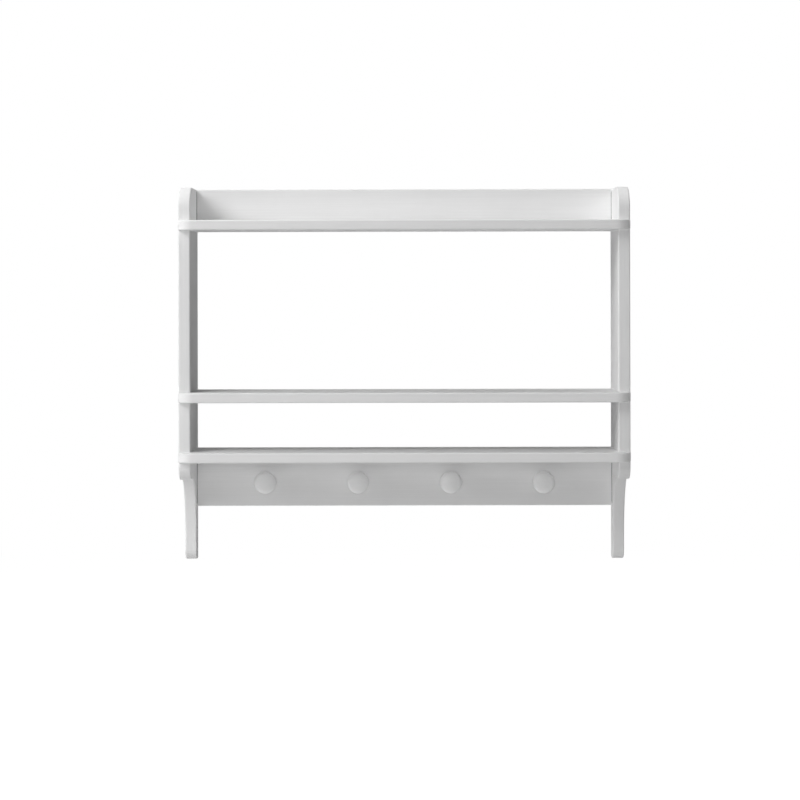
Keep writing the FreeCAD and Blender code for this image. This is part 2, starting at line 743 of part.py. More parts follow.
# Keyhole plates. Local frame: the origin is the centre of the round entry, y = 0 on the wall face.
def hanger_plate(name, sign):
    body = new_body(name)
    outline = new_sketch(body, name + "_outline", "XZ_Plane")
    corners = (
        ("(-plate_half_width)", f"(-{PLATE_HALF_HEIGHT})"),
        ("plate_half_width", f"(-{PLATE_HALF_HEIGHT})"),
        ("plate_half_width", PLATE_HALF_HEIGHT),
        ("(-plate_half_width)", PLATE_HALF_HEIGHT),
    )
    draw_outline(outline, corners)
    pad(body, name + "_sheet", outline, "plate_thickness")
    keyhole = new_sketch(body, name + "_keyhole_outline", "XZ_Plane")
    shoulder = "sqrt(keyhole_radius ^ 2 - keyhole_slot_radius ^ 2)"
    corners = (
        ("(-keyhole_slot_radius)", shoulder),
        ("keyhole_slot_radius", shoulder),
        ("keyhole_slot_radius", "keyhole_rise"),
        ("(-keyhole_slot_radius)", "keyhole_rise"),
    )
    rounds = {
        0: (("0", "0"), ("0", "(-keyhole_radius)")),
        2: (("0", "keyhole_rise"), ("0", "(keyhole_rise + keyhole_slot_radius)")),
    }
    draw_outline(keyhole, corners, rounds)
    pocket(body, name + "_keyhole", keyhole, "(plate_thickness + cut_overrun)", True)
    drill(
        body,
        name + "_screw_holes",
        ("XZ_Plane", "0"),
        [("0", f"(-{PLATE_SCREW_OFFSET})"), ("0", PLATE_SCREW_OFFSET)],
        "(small_screw_radius + glue_film)",
        "(plate_thickness + cut_overrun)",
        True,
        sink="(small_screw_head_radius + glue_film)",
    )
    place(body, f"({sign}{HALF_SPACING})")
    return body


def hanger_screws(master):
    spots = [
        (f"({sign}{HALF_SPACING})", "0", f"({rise}{PLATE_SCREW_OFFSET})")
        for sign in "-+"
        for rise in "-+"
    ]
    return copies("hanger_screws", master, HALF_TURN, spots)


def build_all():
    """Every piece of the object, in the order in which it would be put together."""
    pieces = [side_panel("left_side_panel", False), side_panel("right_side_panel", True)]
    pieces += [shelf("top_shelf", True), shelf("middle_shelf", False), shelf("bottom_shelf", True)]
    pieces += [backboard(), peg_board()]
    for index, share in enumerate(PEG_PLACE_SHARES, start=1):
        pieces.append(peg(f"peg_{index}", share))
    one_dowel = dowel()
    pieces += [shelf_dowels(name, one_dowel) for name in SHELF_HEIGHTS]
    pieces.append(board_dowels("backboard", one_dowel, BACKBOARD_FOOT, BACKBOARD_HEIGHT))
    pieces.append(board_dowels("peg_board", one_dowel, PEG_BOARD_FOOT, PEG_BOARD_FULL))
    one_screw = countersunk_screw("board_screw", "screw")
    pieces.append(board_screws("backboard", one_screw, "top_shelf"))
    pieces.append(board_screws("peg_board", one_screw, "bottom_shelf"))
    pieces += [hanger_plate("left_hanger_plate", "-"), hanger_plate("right_hanger_plate", "+")]
    pieces.append(hanger_screws(countersunk_screw("plate_screw", "small_screw")))
    return pieces


def check_all(pieces):
    """Stop if any step of the model failed, or if a piece has no sound solid."""
    for item in doc.Objects:
        if "Invalid" in item.State or "Error" in item.State:
            raise RuntimeError(f"{item.Label} failed: {item.State}")
    for piece in pieces:
        shape = piece.Shape
        if shape.isNull() or not shape.isValid() or not shape.Solids:
            raise RuntimeError(f"{piece.Label} has no sound solid")


pieces = build_all()
doc.recompute()
check_all(pieces)
os.makedirs("parts", exist_ok=True)
for piece in pieces:
    piece.Shape.exportStep(f"parts/{piece.Label}.step")
    print(piece.Label, len(piece.Shape.Solids), "solids", round(piece.Shape.Volume), "mm3")
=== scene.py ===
"""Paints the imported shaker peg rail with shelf, fills its corners and sets up its studio.

Metres, in the row's frame: the wall plane is y = 0, the front faces -Y, and z = 0 is the
hanging line. Every board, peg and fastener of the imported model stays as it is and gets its
finish. The beads of filler in the inside corners are worked out here.
"""

import math

import bmesh
import bpy
import numpy as np
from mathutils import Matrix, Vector


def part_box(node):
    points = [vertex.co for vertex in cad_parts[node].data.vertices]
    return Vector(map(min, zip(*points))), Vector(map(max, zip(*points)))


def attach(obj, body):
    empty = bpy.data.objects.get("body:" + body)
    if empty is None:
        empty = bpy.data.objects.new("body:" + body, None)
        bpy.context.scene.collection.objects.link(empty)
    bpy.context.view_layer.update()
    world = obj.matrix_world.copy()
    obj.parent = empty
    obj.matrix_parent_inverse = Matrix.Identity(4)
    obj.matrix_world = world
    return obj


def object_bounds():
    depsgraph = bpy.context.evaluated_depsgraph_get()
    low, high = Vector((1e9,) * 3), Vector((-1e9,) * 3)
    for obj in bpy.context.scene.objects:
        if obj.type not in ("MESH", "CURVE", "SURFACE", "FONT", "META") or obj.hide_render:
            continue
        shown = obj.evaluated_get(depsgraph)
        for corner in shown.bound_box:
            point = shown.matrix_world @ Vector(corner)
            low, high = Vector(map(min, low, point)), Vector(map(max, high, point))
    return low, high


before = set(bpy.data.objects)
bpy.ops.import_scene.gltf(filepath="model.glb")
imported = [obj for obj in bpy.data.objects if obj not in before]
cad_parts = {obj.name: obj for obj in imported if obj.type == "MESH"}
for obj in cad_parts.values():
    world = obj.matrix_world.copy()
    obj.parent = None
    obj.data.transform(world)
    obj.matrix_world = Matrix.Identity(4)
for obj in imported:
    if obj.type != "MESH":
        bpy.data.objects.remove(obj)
CAD_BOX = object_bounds()

bl_info = {
    "name": "Shaker peg rail with shelf",
    "version": (1, 0, 0),
    "blender": (4, 5, 0),
    "location": "3D View > Sidebar > Peg rail",
    "description": "Paints a wall-hung peg rail with shelf, fills its corners and lights it",
    "category": "Object",
}

MM = 0.001
PANELS = ("left_side_panel", "right_side_panel")
SHELVES = ("top_shelf", "middle_shelf", "bottom_shelf")
BOARDS = ("backboard", "peg_board")
PEGS = ("peg_1", "peg_2", "peg_3", "peg_4")


def low(node):
    """The corner of a node's box where X, Y and Z are smallest."""
    return np.array(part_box(node)[0])


def high(node):
    """The corner of a node's box where X, Y and Z are largest."""
    return np.array(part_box(node)[1])


# Settings that a user would change.


class PaintSettings(bpy.types.PropertyGroup):
    """The white paint on the boards and the pegs."""

    colour: bpy.props.FloatVectorProperty(
        name="Paint", description="Colour of the dry paint", subtype="COLOR", size=3,
        min=0, max=1, default=(0.84, 0.84, 0.84),
    )
    roughness: bpy.props.FloatProperty(
        name="Roughness", description="0.5 is satin, 0.7 an eggshell finish", subtype="FACTOR",
        min=0, max=1, default=0.7,
    )
    gloss: bpy.props.FloatProperty(
        name="Gloss", description="Specular level of the paint's binder", subtype="FACTOR",
        min=0, max=1, default=0.05,
    )
    peg_roughness: bpy.props.FloatProperty(
        name="Peg roughness", description="Roughness of the glossier paint on the turned pegs",
        subtype="FACTOR", min=0, max=1, default=0.3,
    )
    peg_gloss: bpy.props.FloatProperty(
        name="Peg gloss", description="Specular level of the paint on the turned pegs",
        subtype="FACTOR", min=0, max=1, default=0.5,
    )
    brush_depth: bpy.props.FloatProperty(
        name="Brush marks", description="Height of the marks that the brush left",
        subtype="DISTANCE", unit="LENGTH", min=0, default=0.035 * MM,
    )
    grain_depth: bpy.props.FloatProperty(
        name="Grain", description="Height of the wood's grain as it shows through the paint",
        subtype="DISTANCE", unit="LENGTH", min=0, default=0.04 * MM,
    )
    ring_depth: bpy.props.FloatProperty(
        name="Turned rings", description="Height of the lathe's rings under the pegs' paint",
        subtype="DISTANCE", unit="LENGTH", min=0, default=0.0105 * MM,
    )
    # The edge mask also lightens the paint's colour: a painted highlight along edges.
    edge_width: bpy.props.FloatProperty(
        name="Edge width", description="Width of the smoother paint and painted highlight along an edge",
        subtype="DISTANCE", unit="LENGTH", min=0, default=2.5 * MM,
    )


class FillerSettings(bpy.types.PropertyGroup):
    """The beads of filler in the inside corners, and the dark beads of painted shade in the gaps
    at the boards' end joints.
    """

    board_radius: bpy.props.FloatProperty(
        name="Corner bead", description="Hollow radius of the bead where two boards meet",
        subtype="DISTANCE", unit="LENGTH", min=0, default=0.9 * MM,
    )
    peg_radius: bpy.props.FloatProperty(
        name="Peg bead", description="Hollow radius of the ring where a peg meets its board",
        subtype="DISTANCE", unit="LENGTH", min=0, default=0.7 * MM,
    )
    unevenness: bpy.props.FloatProperty(
        name="Unevenness", description="How far the bead's radius wanders along its length",
        subtype="FACTOR", min=0, max=1, default=0.18,
    )
    # This colour is painted shade, standing in for the shadow in the gap between a board's end and
    # a panel.
    joint_shade: bpy.props.FloatVectorProperty(
        name="Joint", description="Colour of the painted shade in the gap between a board's end and a panel",
        subtype="COLOR", size=3, min=0, max=1, default=(0.33, 0.33, 0.325),
    )


class HardwareSettings(bpy.types.PropertyGroup):
    """The zinc plated screws and hanger plates, and the bare dowels."""

    zinc: bpy.props.FloatVectorProperty(
        name="Zinc", description="Colour of the plating", subtype="COLOR", size=3,
        min=0, max=1, default=(0.36, 0.37, 0.38),
    )
    zinc_depth: bpy.props.FloatProperty(
        name="Zinc marks", description="Height of the fine marks on the plating",
        subtype="DISTANCE", unit="LENGTH", min=0, default=0.02 * MM,
    )
    zinc_edge: bpy.props.FloatProperty(
        name="Zinc edges", description="Width of the brighter plating along an edge",
        subtype="DISTANCE", unit="LENGTH", min=0, default=0.5 * MM,
    )
    birch: bpy.props.FloatVectorProperty(
        name="Birch", description="Colour of the bare dowels", subtype="COLOR", size=3,
        min=0, max=1, default=(0.66, 0.50, 0.32),
    )
    birch_depth: bpy.props.FloatProperty(
        name="Birch grain", description="Height of the grain on the bare dowels",
        subtype="DISTANCE", unit="LENGTH", min=0, default=0.05 * MM,
    )


class StageSettings(bpy.types.PropertyGroup):
    """Camera, floor and light."""

    eye_distance: bpy.props.FloatProperty(
        name="Eye distance", description="Camera to the side panels' front edges",
        subtype="DISTANCE", unit="LENGTH", min=0, default=2.975,
    )
    eye_height: bpy.props.FloatProperty(
        name="Eye height", description="Camera's height over the hanging line",
        subtype="DISTANCE", unit="LENGTH", default=-0.123,
    )
    tilt: bpy.props.FloatProperty(
        name="Tilt", description="How far the camera leans about its line of sight",
        subtype="ANGLE", unit="ROTATION", default=math.radians(0.12),
    )
    frame_shift: bpy.props.FloatVectorProperty(
        name="Frame shift", description="Shift of the picture's frame, in shares of its width",
        size=2, default=(-0.0052, -0.14025),
    )
    lens: bpy.props.FloatProperty(
        name="Lens", description="Focal length in millimetres on a 36 mm wide sensor",
        min=1, default=89.05,
    )
    floor_drop: bpy.props.FloatProperty(
        name="Floor drop", description="Hanging line down to the floor",
        subtype="DISTANCE", unit="LENGTH", min=0, default=1.75,
    )
    floor_white: bpy.props.FloatProperty(
        name="Floor white", description="Own light of the floor where it is seen directly",
        min=0, max=1, default=0.97,
    )
    ambient: bpy.props.FloatProperty(
        name="Ambient", description="Strength of the light that comes from all around",
        min=0, default=0.02,
    )
    brightness: bpy.props.FloatProperty(
        name="Brightness", description="Factor on the power of every lamp", min=0, default=1.0,
    )


SETTINGS = {
    "rail_paint": PaintSettings,
    "rail_filler": FillerSettings,
    "rail_hardware": HardwareSettings,
    "rail_stage": StageSettings,
}


# Node trees.


def feed(tree, node, inputs):
    """Gives each listed input of a node its value, or links it where it gets a socket."""
    for key, value in inputs.items():
        if isinstance(value, bpy.types.NodeSocket):
            tree.links.new(value, node.inputs[key])
        else:
            node.inputs[key].default_value = value


def add(tree, kind, inputs, **options):
    """The outputs of a new node, whose options are set before its inputs are fed."""
    node = tree.nodes.new(kind)
    for name, value in options.items():
        setattr(node, name, value)
    feed(tree, node, inputs)
    return node.outputs


def maths(tree, operation, *numbers):
    """The result of a maths node for some numbers, any of which may be a socket."""
    return add(tree, "ShaderNodeMath", dict(enumerate(numbers)), operation=operation)[0]


def vectors(tree, operation, *inputs, result="Vector"):
    """The same for vectors. A length or a dot product is asked for as the result Value."""
    return add(tree, "ShaderNodeVectorMath", dict(enumerate(inputs)), operation=operation)[result]


def weighted_sum(tree, *terms):
    """The sum of some sockets, each times its weight."""
    parts = [maths(tree, "MULTIPLY", socket, weight) for socket, weight in terms]
    total = parts[0]
    for part in parts[1:]:
        total = maths(tree, "ADD", total, part)
    return total


def stretch(tree, vector, along, across):
    """The vector with its X times along, and its Y and Z times across."""
    factors = add(tree, "ShaderNodeCombineXYZ", {0: along, 1: across, 2: across})[0]
    return vectors(tree, "MULTIPLY", vector, factors)


def noise(tree, vector, scale=1.0, detail=2.0):
    """The two outputs of a noise: one number, and three as a colour."""
    inputs = {"Vector": vector, "Scale": scale, "Detail": detail, "Roughness": 0.5}
    return add(tree, "ShaderNodeTexNoise", inputs)


def ranged(tree, value, lowest, highest, start=0.0, end=1.0):
    """A value between start and end spread over the range from lowest to highest."""
    inputs = {0: value, 1: start, 2: end, 3: lowest, 4: highest}
    return add(tree, "ShaderNodeMapRange", inputs, clamp=True)[0]


def mixed(tree, factor, first, second):
    """The first colour at a factor of 0, the second at 1. A mix node's colours are 6 and 7."""
    return add(tree, "ShaderNodeMix", {0: factor, 6: first, 7: second}, data_type="RGBA")[2]


def bump(tree, height, depth, below=None):
    """The normal of a surface raised by height times depth, on top of the normal below."""
    inputs = {"Distance": depth, "Height": height}
    if below is not None:
        inputs["Normal"] = below
    return add(tree, "ShaderNodeBump", inputs)[0]


# Effects that materials share, each a node group. Noise scales are in waves to the metre.

# The drift's scale, and what weight each part has in the height and in the sheen's drift.
DRIFT_SCALE = 14.0
STREAK_LIFT, STIPPLE_LIFT, DRIFT_LIFT = 0.65, 0.2, 0.6
STREAK_SHEEN, DRIFT_SHEEN = 0.4, 0.6


def brush_marks(tree, given):
    """Long streaks from the bristles, a fine stipple, and slow drifts in colour and sheen.

    Streaks: noise on coordinates pressed together along the stroke. Stipple: fine even noise.
    Drift: slow even noise. Height is a weighted sum of the three, and the sheen's drift one of
    streaks and drift.
    """
    stroke = stretch(tree, given["Vector"], given["Along"], given["Across"])
    streaks = noise(tree, stroke, detail=3.0)[0]
    stipple = noise(tree, given["Vector"], given["Stipple"], 1.0)[0]
    drift = noise(tree, given["Vector"], DRIFT_SCALE, 3.0)[0]
    return {
        "Height": weighted_sum(
            tree, (streaks, STREAK_LIFT), (stipple, STIPPLE_LIFT), (drift, DRIFT_LIFT)
        ),
        "Sheen drift": weighted_sum(tree, (streaks, STREAK_SHEEN), (drift, DRIFT_SHEEN)),
        "Tint drift": drift,
        "Streaks": streaks,
    }


# How far X is shrunk, how far from the origin the rings' middle lies towards -Y, how often and
# how far a noise bends the rings, and where a streak counts as a pore and how deep it is.
RING_LENGTH_SHARE = 0.16
PITH_DEPTH = 60 * MM
SWAY_SCALE, SWAY = 7.0, 35 * MM
LATE_WOOD_POWER = 3.0
PORES_ALONG, PORES_ACROSS = 60.0, 1500.0
PORE_LIMIT, PORE_DEPTH = 0.66, -0.4


def wood_grain(tree, given):
    """Growth rings cut lengthwise, as long ovals about a point near the origin.

    X is shrunk, so that the ovals are long, and a slow noise bends them. The distance from the
    point, in ring spacings, leaves a fraction that rises from early to late wood, and a power
    of it is the late wood. Pores are cut where a noise of short streaks is high.
    """
    bent = stretch(tree, given["Vector"], RING_LENGTH_SHARE, 1.0)
    sway = vectors(tree, "MULTIPLY", noise(tree, bent, SWAY_SCALE)[1], (SWAY, SWAY, SWAY))
    moved = vectors(tree, "ADD", bent, sway)
    from_pith = vectors(tree, "ADD", moved, (0.0, PITH_DEPTH, 0.0))
    distance = vectors(tree, "LENGTH", from_pith, result="Value")
    rings = maths(tree, "DIVIDE", distance, given["Ring spacing"])
    late = maths(tree, "POWER", maths(tree, "FRACT", rings), LATE_WOOD_POWER)
    streaks = noise(tree, stretch(tree, given["Vector"], PORES_ALONG, PORES_ACROSS), detail=1.0)[0]
    pores = maths(tree, "MULTIPLY", maths(tree, "GREATER_THAN", streaks, PORE_LIMIT), PORE_DEPTH)
    return {"Height": maths(tree, "ADD", late, pores), "Late wood": late}


# Samples of the rounded-off normal, the noise that breaks an edge up, what is added to it, and
# the products of lean and noise at which the mask begins and is full.
EDGE_SAMPLES = 4
EDGE_NOISE_SCALE = 260.0
EDGE_NOISE_FLOOR = 0.4
EDGE_STARTS, EDGE_FULL = 0.01, 0.22


def edge_mask(tree, given):
    """1 on edges and 0 on flats: how far the rounded-off normal leans, broken up by noise."""
    rounded = add(tree, "ShaderNodeBevel", {"Radius": given["Width"]}, samples=EDGE_SAMPLES)[0]
    normal = add(tree, "ShaderNodeNewGeometry", {})["True Normal"]
    agreement = vectors(tree, "DOT_PRODUCT", rounded, normal, result="Value")
    lean = maths(tree, "SUBTRACT", 1.0, agreement)
    broken = noise(tree, given["Vector"], EDGE_NOISE_SCALE)[0]
    broken = maths(tree, "ADD", broken, EDGE_NOISE_FLOOR)
    lighter_edge = maths(tree, "MULTIPLY", lean, broken)
    return {"Edge": ranged(tree, lighter_edge, 0.0, 1.0, EDGE_STARTS, EDGE_FULL)}


# Unevenness of the rings, in waves to the ring.
RING_NOISE_SCALE = 0.35


def turned_rings(tree, given):
    """Fine rings left by the lathe: a wave along the peg's axis, uneven from ring to ring."""
    along = add(tree, "ShaderNodeSeparateXYZ", {0: given["Vector"]})[1]
    turns = maths(tree, "MULTIPLY", along, given["Rings"])
    wave = maths(tree, "SINE", maths(tree, "MULTIPLY", turns, 2 * math.pi))
    ring = add(tree, "ShaderNodeCombineXYZ", {1: turns})[0]
    uneven = noise(tree, ring, RING_NOISE_SCALE)[0]
    return {"Height": maths(tree, "MULTIPLY", wave, uneven)}


# Each effect's numbers besides its Vector: waves to the metre, or lengths in metres.
EFFECTS = {
    "Brush marks": (brush_marks, {"Along": 9.0, "Across": 420.0, "Stipple": 900.0}),
    "Wood grain": (wood_grain, {"Ring spacing": 3.2 * MM}),
    "Edge mask": (edge_mask, {"Width": 2.5 * MM}),
    "Turned rings": (turned_rings, {"Rings": 1100.0}),
}


def effect_group(name):
    """An effect's node group with its named inputs and outputs, built when first asked for."""
    if name in bpy.data.node_groups:
        return bpy.data.node_groups[name]
    work_out, numbers = EFFECTS[name]
    tree = bpy.data.node_groups.new(name, "ShaderNodeTree")
    sockets = tree.interface
    sockets.new_socket(name="Vector", in_out="INPUT", socket_type="NodeSocketVector")
    for label, value in numbers.items():
        number = sockets.new_socket(name=label, in_out="INPUT", socket_type="NodeSocketFloat")
        number.default_value = value
    results = work_out(tree, tree.nodes.new("NodeGroupInput").outputs)
    for label in results:
        sockets.new_socket(name=label, in_out="OUTPUT", socket_type="NodeSocketFloat")
    feed(tree, tree.nodes.new("NodeGroupOutput"), results)
    return tree


def effect(tree, name, inputs):
    """The outputs of an effect placed in a material with its own values."""
    return add(tree, "ShaderNodeGroup", inputs, node_tree=effect_group(name))


# Materials.


def new_material(name):
    """A material with a plain Principled surface, its tree and that surface."""
    material = bpy.data.materials.new(name)
    material.use_nodes = True
    tree = material.node_tree
    surface = next(node for node in tree.nodes if node.type == "BSDF_PRINCIPLED")
    return material, tree, surface


def object_place(tree):
    """Where a point lies on its object, which for every piece is its place in the frame."""
    return add(tree, "ShaderNodeTexCoord", {})["Object"]


def shade(colour, factor):
    """A colour made lighter or darker, with an alpha of 1."""
    return tuple(min(1.0, part * factor) for part in colour) + (1.0,)


# Most of a noise lies between these two values.
NOISE_SPREAD = (0.3, 0.7)

# Shades of the paint, as factors on its colour, what weight streaks, drift and edges have in
# them, and how far the paint is smoother or rougher than its setting. The lighter shade along
# edges is a painted highlight.
STREAK_TONE, DRIFT_TONE = 0.6, 0.4
THIN_PAINT, THICK_PAINT, EDGE_HIGHLIGHT_SHADE = 0.975, 1.02, 1.06
EDGE_TONE = 0.5
SMOOTHER, ROUGHER = 0.12, 0.14
EDGE_SMOOTHER = 0.1

# Turns that bring a piece's brush strokes to X.
FLAT = (0.0, 0.0, 0.0)
UPRIGHT = (0.0, math.pi / 2, 0.0)
LYING = (math.pi / 2, 0.0, 0.0)


def painted(name, turn=FLAT, grain=True, turned=False, body=None):
    """White paint, or paint of another body colour, brushed along X after the given turn.

    Turned pieces get a glossier coat, with the fine rings of the lathe under it.
    """
    paint = bpy.context.scene.rail_paint
    body = body or tuple(paint.colour)
    rough, gloss = paint.roughness, paint.gloss
    if turned:
        rough, gloss = paint.peg_roughness, paint.peg_gloss
    material, tree, surface = new_material(name)
    place = object_place(tree)
    mapped = add(tree, "ShaderNodeMapping", {"Vector": place, "Rotation": turn})[0]
    marks = effect(tree, "Brush marks", {"Vector": mapped})
    edge = effect(tree, "Edge mask", {"Vector": mapped, "Width": paint.edge_width})["Edge"]
    thick = ranged(tree, marks["Streaks"], 0.0, 1.0, *NOISE_SPREAD)
    cloud = ranged(tree, marks["Tint drift"], 0.0, 1.0, *NOISE_SPREAD)
    tone = weighted_sum(tree, (thick, STREAK_TONE), (cloud, DRIFT_TONE))
    colour = mixed(tree, tone, shade(body, THIN_PAINT), shade(body, THICK_PAINT))
    # Painted highlight: the paint's colour is lighter along edges, as if they caught the light.
    lighter_edge = maths(tree, "MULTIPLY", edge, EDGE_TONE)
    sheen = ranged(tree, marks["Sheen drift"], rough - SMOOTHER, rough + ROUGHER)
    smoother = maths(tree, "MULTIPLY", edge, EDGE_SMOOTHER)
    normal = bump(tree, marks["Height"], paint.brush_depth)
    if grain:
        rings = effect(tree, "Wood grain", {"Vector": mapped})["Height"]
        normal = bump(tree, rings, paint.grain_depth, normal)
    if turned:
        rings = effect(tree, "Turned rings", {"Vector": place})["Height"]
        normal = bump(tree, rings, paint.ring_depth, normal)
    feed(tree, surface, {
        "Base Color": mixed(tree, lighter_edge, colour, shade(body, EDGE_HIGHLIGHT_SHADE)),
        "Roughness": maths(tree, "SUBTRACT", sheen, smoother),
        "Specular IOR Level": gloss,
        "Normal": normal,
    })
    return material


def filler_paint():
    """The white paint on the beads of filler, made when first asked for."""
    name = "Paint over filler"
    return bpy.data.materials.get(name) or painted(name, grain=False)


DOWEL_RING_SPACING = 1.1 * MM

# Shades of the birch, as factors on its colour, and its roughness, in early and late wood.
EARLY_BIRCH, LATE_BIRCH = 1.08, 0.82
EARLY_ROUGHNESS, LATE_ROUGHNESS = 0.72, 0.55


def bare_birch():
    """Birch as it comes from the dowel mill: darker and smoother in the late wood."""
    wood = bpy.context.scene.rail_hardware
    birch = tuple(wood.birch)
    material, tree, surface = new_material("Bare birch")
    inputs = {"Vector": object_place(tree), "Ring spacing": DOWEL_RING_SPACING}
    grain = effect(tree, "Wood grain", inputs)
    late = grain["Late wood"]
    feed(tree, surface, {
        "Base Color": mixed(tree, late, shade(birch, EARLY_BIRCH), shade(birch, LATE_BIRCH)),
        "Roughness": ranged(tree, late, EARLY_ROUGHNESS, LATE_ROUGHNESS),
        "Normal": bump(tree, grain["Height"], wood.birch_depth),
    })
    return material


# Marks to the metre. Along X, screws have nearly as many as across, and plates have few, so
# theirs are long streaks.
SCREW_MARKS, PLATE_MARKS = 900.0, 30.0
ZINC_MARKS_ACROSS, ZINC_STIPPLE = 1400.0, 2500.0

# Shades of the zinc, as factors on its colour, how far its edges take theirs, and its range of
# roughness.
DULL_ZINC, CLEAN_ZINC, EDGE_ZINC = 0.85, 1.1, 1.25
ZINC_EDGE_TONE = 0.6
ZINC_ROUGHNESS = (0.28, 0.5)


def zinc_plating(name, along):
    """Zinc with a slow drift in colour and sheen, fine marks and brighter edges."""
    metal = bpy.context.scene.rail_hardware
    zinc = tuple(metal.zinc)
    material, tree, surface = new_material(name)
    place = object_place(tree)
    marks = effect(tree, "Brush marks", {
        "Vector": place, "Along": along, "Across": ZINC_MARKS_ACROSS, "Stipple": ZINC_STIPPLE,
    })
    edge = effect(tree, "Edge mask", {"Vector": place, "Width": metal.zinc_edge})["Edge"]
    colour = mixed(tree, marks["Tint drift"], shade(zinc, DULL_ZINC), shade(zinc, CLEAN_ZINC))
    lighter_edge = maths(tree, "MULTIPLY", edge, ZINC_EDGE_TONE)
    feed(tree, surface, {
        "Base Color": mixed(tree, lighter_edge, colour, shade(zinc, EDGE_ZINC)),
        "Roughness": ranged(tree, marks["Sheen drift"], *ZINC_ROUGHNESS),
        "Metallic": 1.0,
        "Normal": bump(tree, marks["Height"], metal.zinc_depth),
    })
    return material


def dress(nodes, material):
    """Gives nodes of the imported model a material."""
    for name in nodes:
        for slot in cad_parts[name].material_slots:
            slot.material = material


# Shapes.

# Points nearer to each other than this become one.
MERGE_DISTANCE = 0.002 * MM

# A bead ends this far short of a board's free edge, and grows from nothing over the taper.
SET_BACK = 2 * MM
BEAD_TAPER = 1 * MM

# Points along a bead and across its skin, and how far it reaches into the wood, as a share of
# its radius.
BEAD_STEP = 4 * MM
BEAD_FEWEST, BEAD_ARC_POINTS = 4, 7
BEAD_ROOT = 0.2

# The slow waves in a bead's radius, in radians to the metre, and how far beads differ in phase.
WAVES = (23.0, 61.0, 140.0)
WAVE_PHASE = 2.1

# The same for the ring round a peg, and how often it bulges.
RING_POINTS, RING_ARC_POINTS = 72, 6
RING_ROOT = 0.3
RING_BULGES = 3


def put_mesh(name, points, faces):
    """A mesh object in the scene, from arrays of points and four-cornered faces."""
    mesh = bpy.data.meshes.new(name)
    mesh.vertices.add(len(points))
    mesh.vertices.foreach_set("co", points.astype(np.float32).ravel())
    mesh.loops.add(faces.size)
    mesh.loops.foreach_set("vertex_index", faces.astype(np.int32).ravel())
    mesh.polygons.add(len(faces))
    mesh.polygons.foreach_set("loop_start", np.arange(0, faces.size, 4, dtype=np.int32))
    mesh.update(calc_edges=True)
    mesh.validate()
    piece = bpy.data.objects.new(name, mesh)
    bpy.context.scene.collection.objects.link(piece)
    return piece


def grid_faces(rows, columns, wrap):
    """Faces of a grid of rows by columns of points; wrap joins the last column to the first."""
    row = np.arange(rows - 1)[:, None]
    column = np.arange(columns if wrap else columns - 1)[None, :]
    after = (column + 1) % columns
    corners = (row * columns + column, (row + 1) * columns + column,
               (row + 1) * columns + after, row * columns + after)
    return np.stack([np.broadcast_to(corner, (rows - 1, column.size)) for corner in corners],
                    axis=-1).reshape(-1, 4)


def wander(distance, seed):
    """A slow uneven wave from -1 to 1 along a length: three sines with no common period."""
    return sum(np.sin(distance * wave + seed * (WAVE_PHASE + index))
               for index, wave in enumerate(WAVES)) / len(WAVES)


def bead(start, end, first, second, radius, uneven, seed):
    """A hollow bead along an inside corner, as points and faces.

    start and end are the ends of the corner's line, first and second the directions in which
    its two walls leave it. At a share u of the length and an angle t from 0 to a quarter turn,
    a point of the skin lies r (1 - sin t) along first and r (1 - cos t) along second, where r
    is the radius with a slow wave on it. A line a hair inside the wood, behind the corner,
    closes the section, and the radius shrinks to nothing at both ends.
    """
    start, end = np.array(start), np.array(end)
    first, second = np.array(first, float), np.array(second, float)
    length = np.linalg.norm(end - start)
    along = np.linspace(0.0, 1.0, max(BEAD_FEWEST, int(length / BEAD_STEP)))
    angle = np.linspace(0.0, math.pi / 2, BEAD_ARC_POINTS)
    to_end = np.minimum(along, 1.0 - along) * length
    reach = radius * (1.0 + uneven * wander(along * length, seed))
    reach = reach * np.clip(to_end / BEAD_TAPER, 0.0, 1.0)
    line = start + along[:, None] * (end - start)
    skin = (line[:, None, :]
            + (reach[:, None] * (1.0 - np.sin(angle)))[:, :, None] * first
            + (reach[:, None] * (1.0 - np.cos(angle)))[:, :, None] * second)
    sunk = line - BEAD_ROOT * reach[:, None] * (first + second)
    points = np.concatenate([skin, sunk[:, None, :]], axis=1)
    rows, columns = points.shape[:2]
    return points.reshape(-1, 3), grid_faces(rows, columns, True)


def ring_bead(centre, radius, reach, uneven, seed):
    """A hollow bead round a peg where it stands on its board, whose face looks to -Y.

    At an angle a round the peg and t across the bead, a point lies reach (1 - cos t) outside
    the peg and reach (1 - sin t) in front of the board, where reach bulges a few times round
    the peg. A line inside the wood closes the section.
    """
    around = np.linspace(0.0, 2 * math.pi, RING_POINTS, endpoint=False)
    angle = np.linspace(0.0, math.pi / 2, RING_ARC_POINTS)
    size = (reach * (1.0 + uneven * np.sin(RING_BULGES * around + seed)))[:, None]
    out = np.concatenate([radius + size * (1.0 - np.cos(angle)), radius - RING_ROOT * size],
                         axis=1)
    front = np.concatenate([size * (1.0 - np.sin(angle)), -RING_ROOT * size], axis=1)
    turn = around[:, None]
    points = np.stack([centre[0] + out * np.cos(turn), centre[1] - front,
                       centre[2] + out * np.sin(turn)], axis=-1)
    points = np.concatenate([points, points[:1]], axis=0)
    rows, columns = points.shape[:2]
    return points.reshape(-1, 3), grid_faces(rows, columns, True)


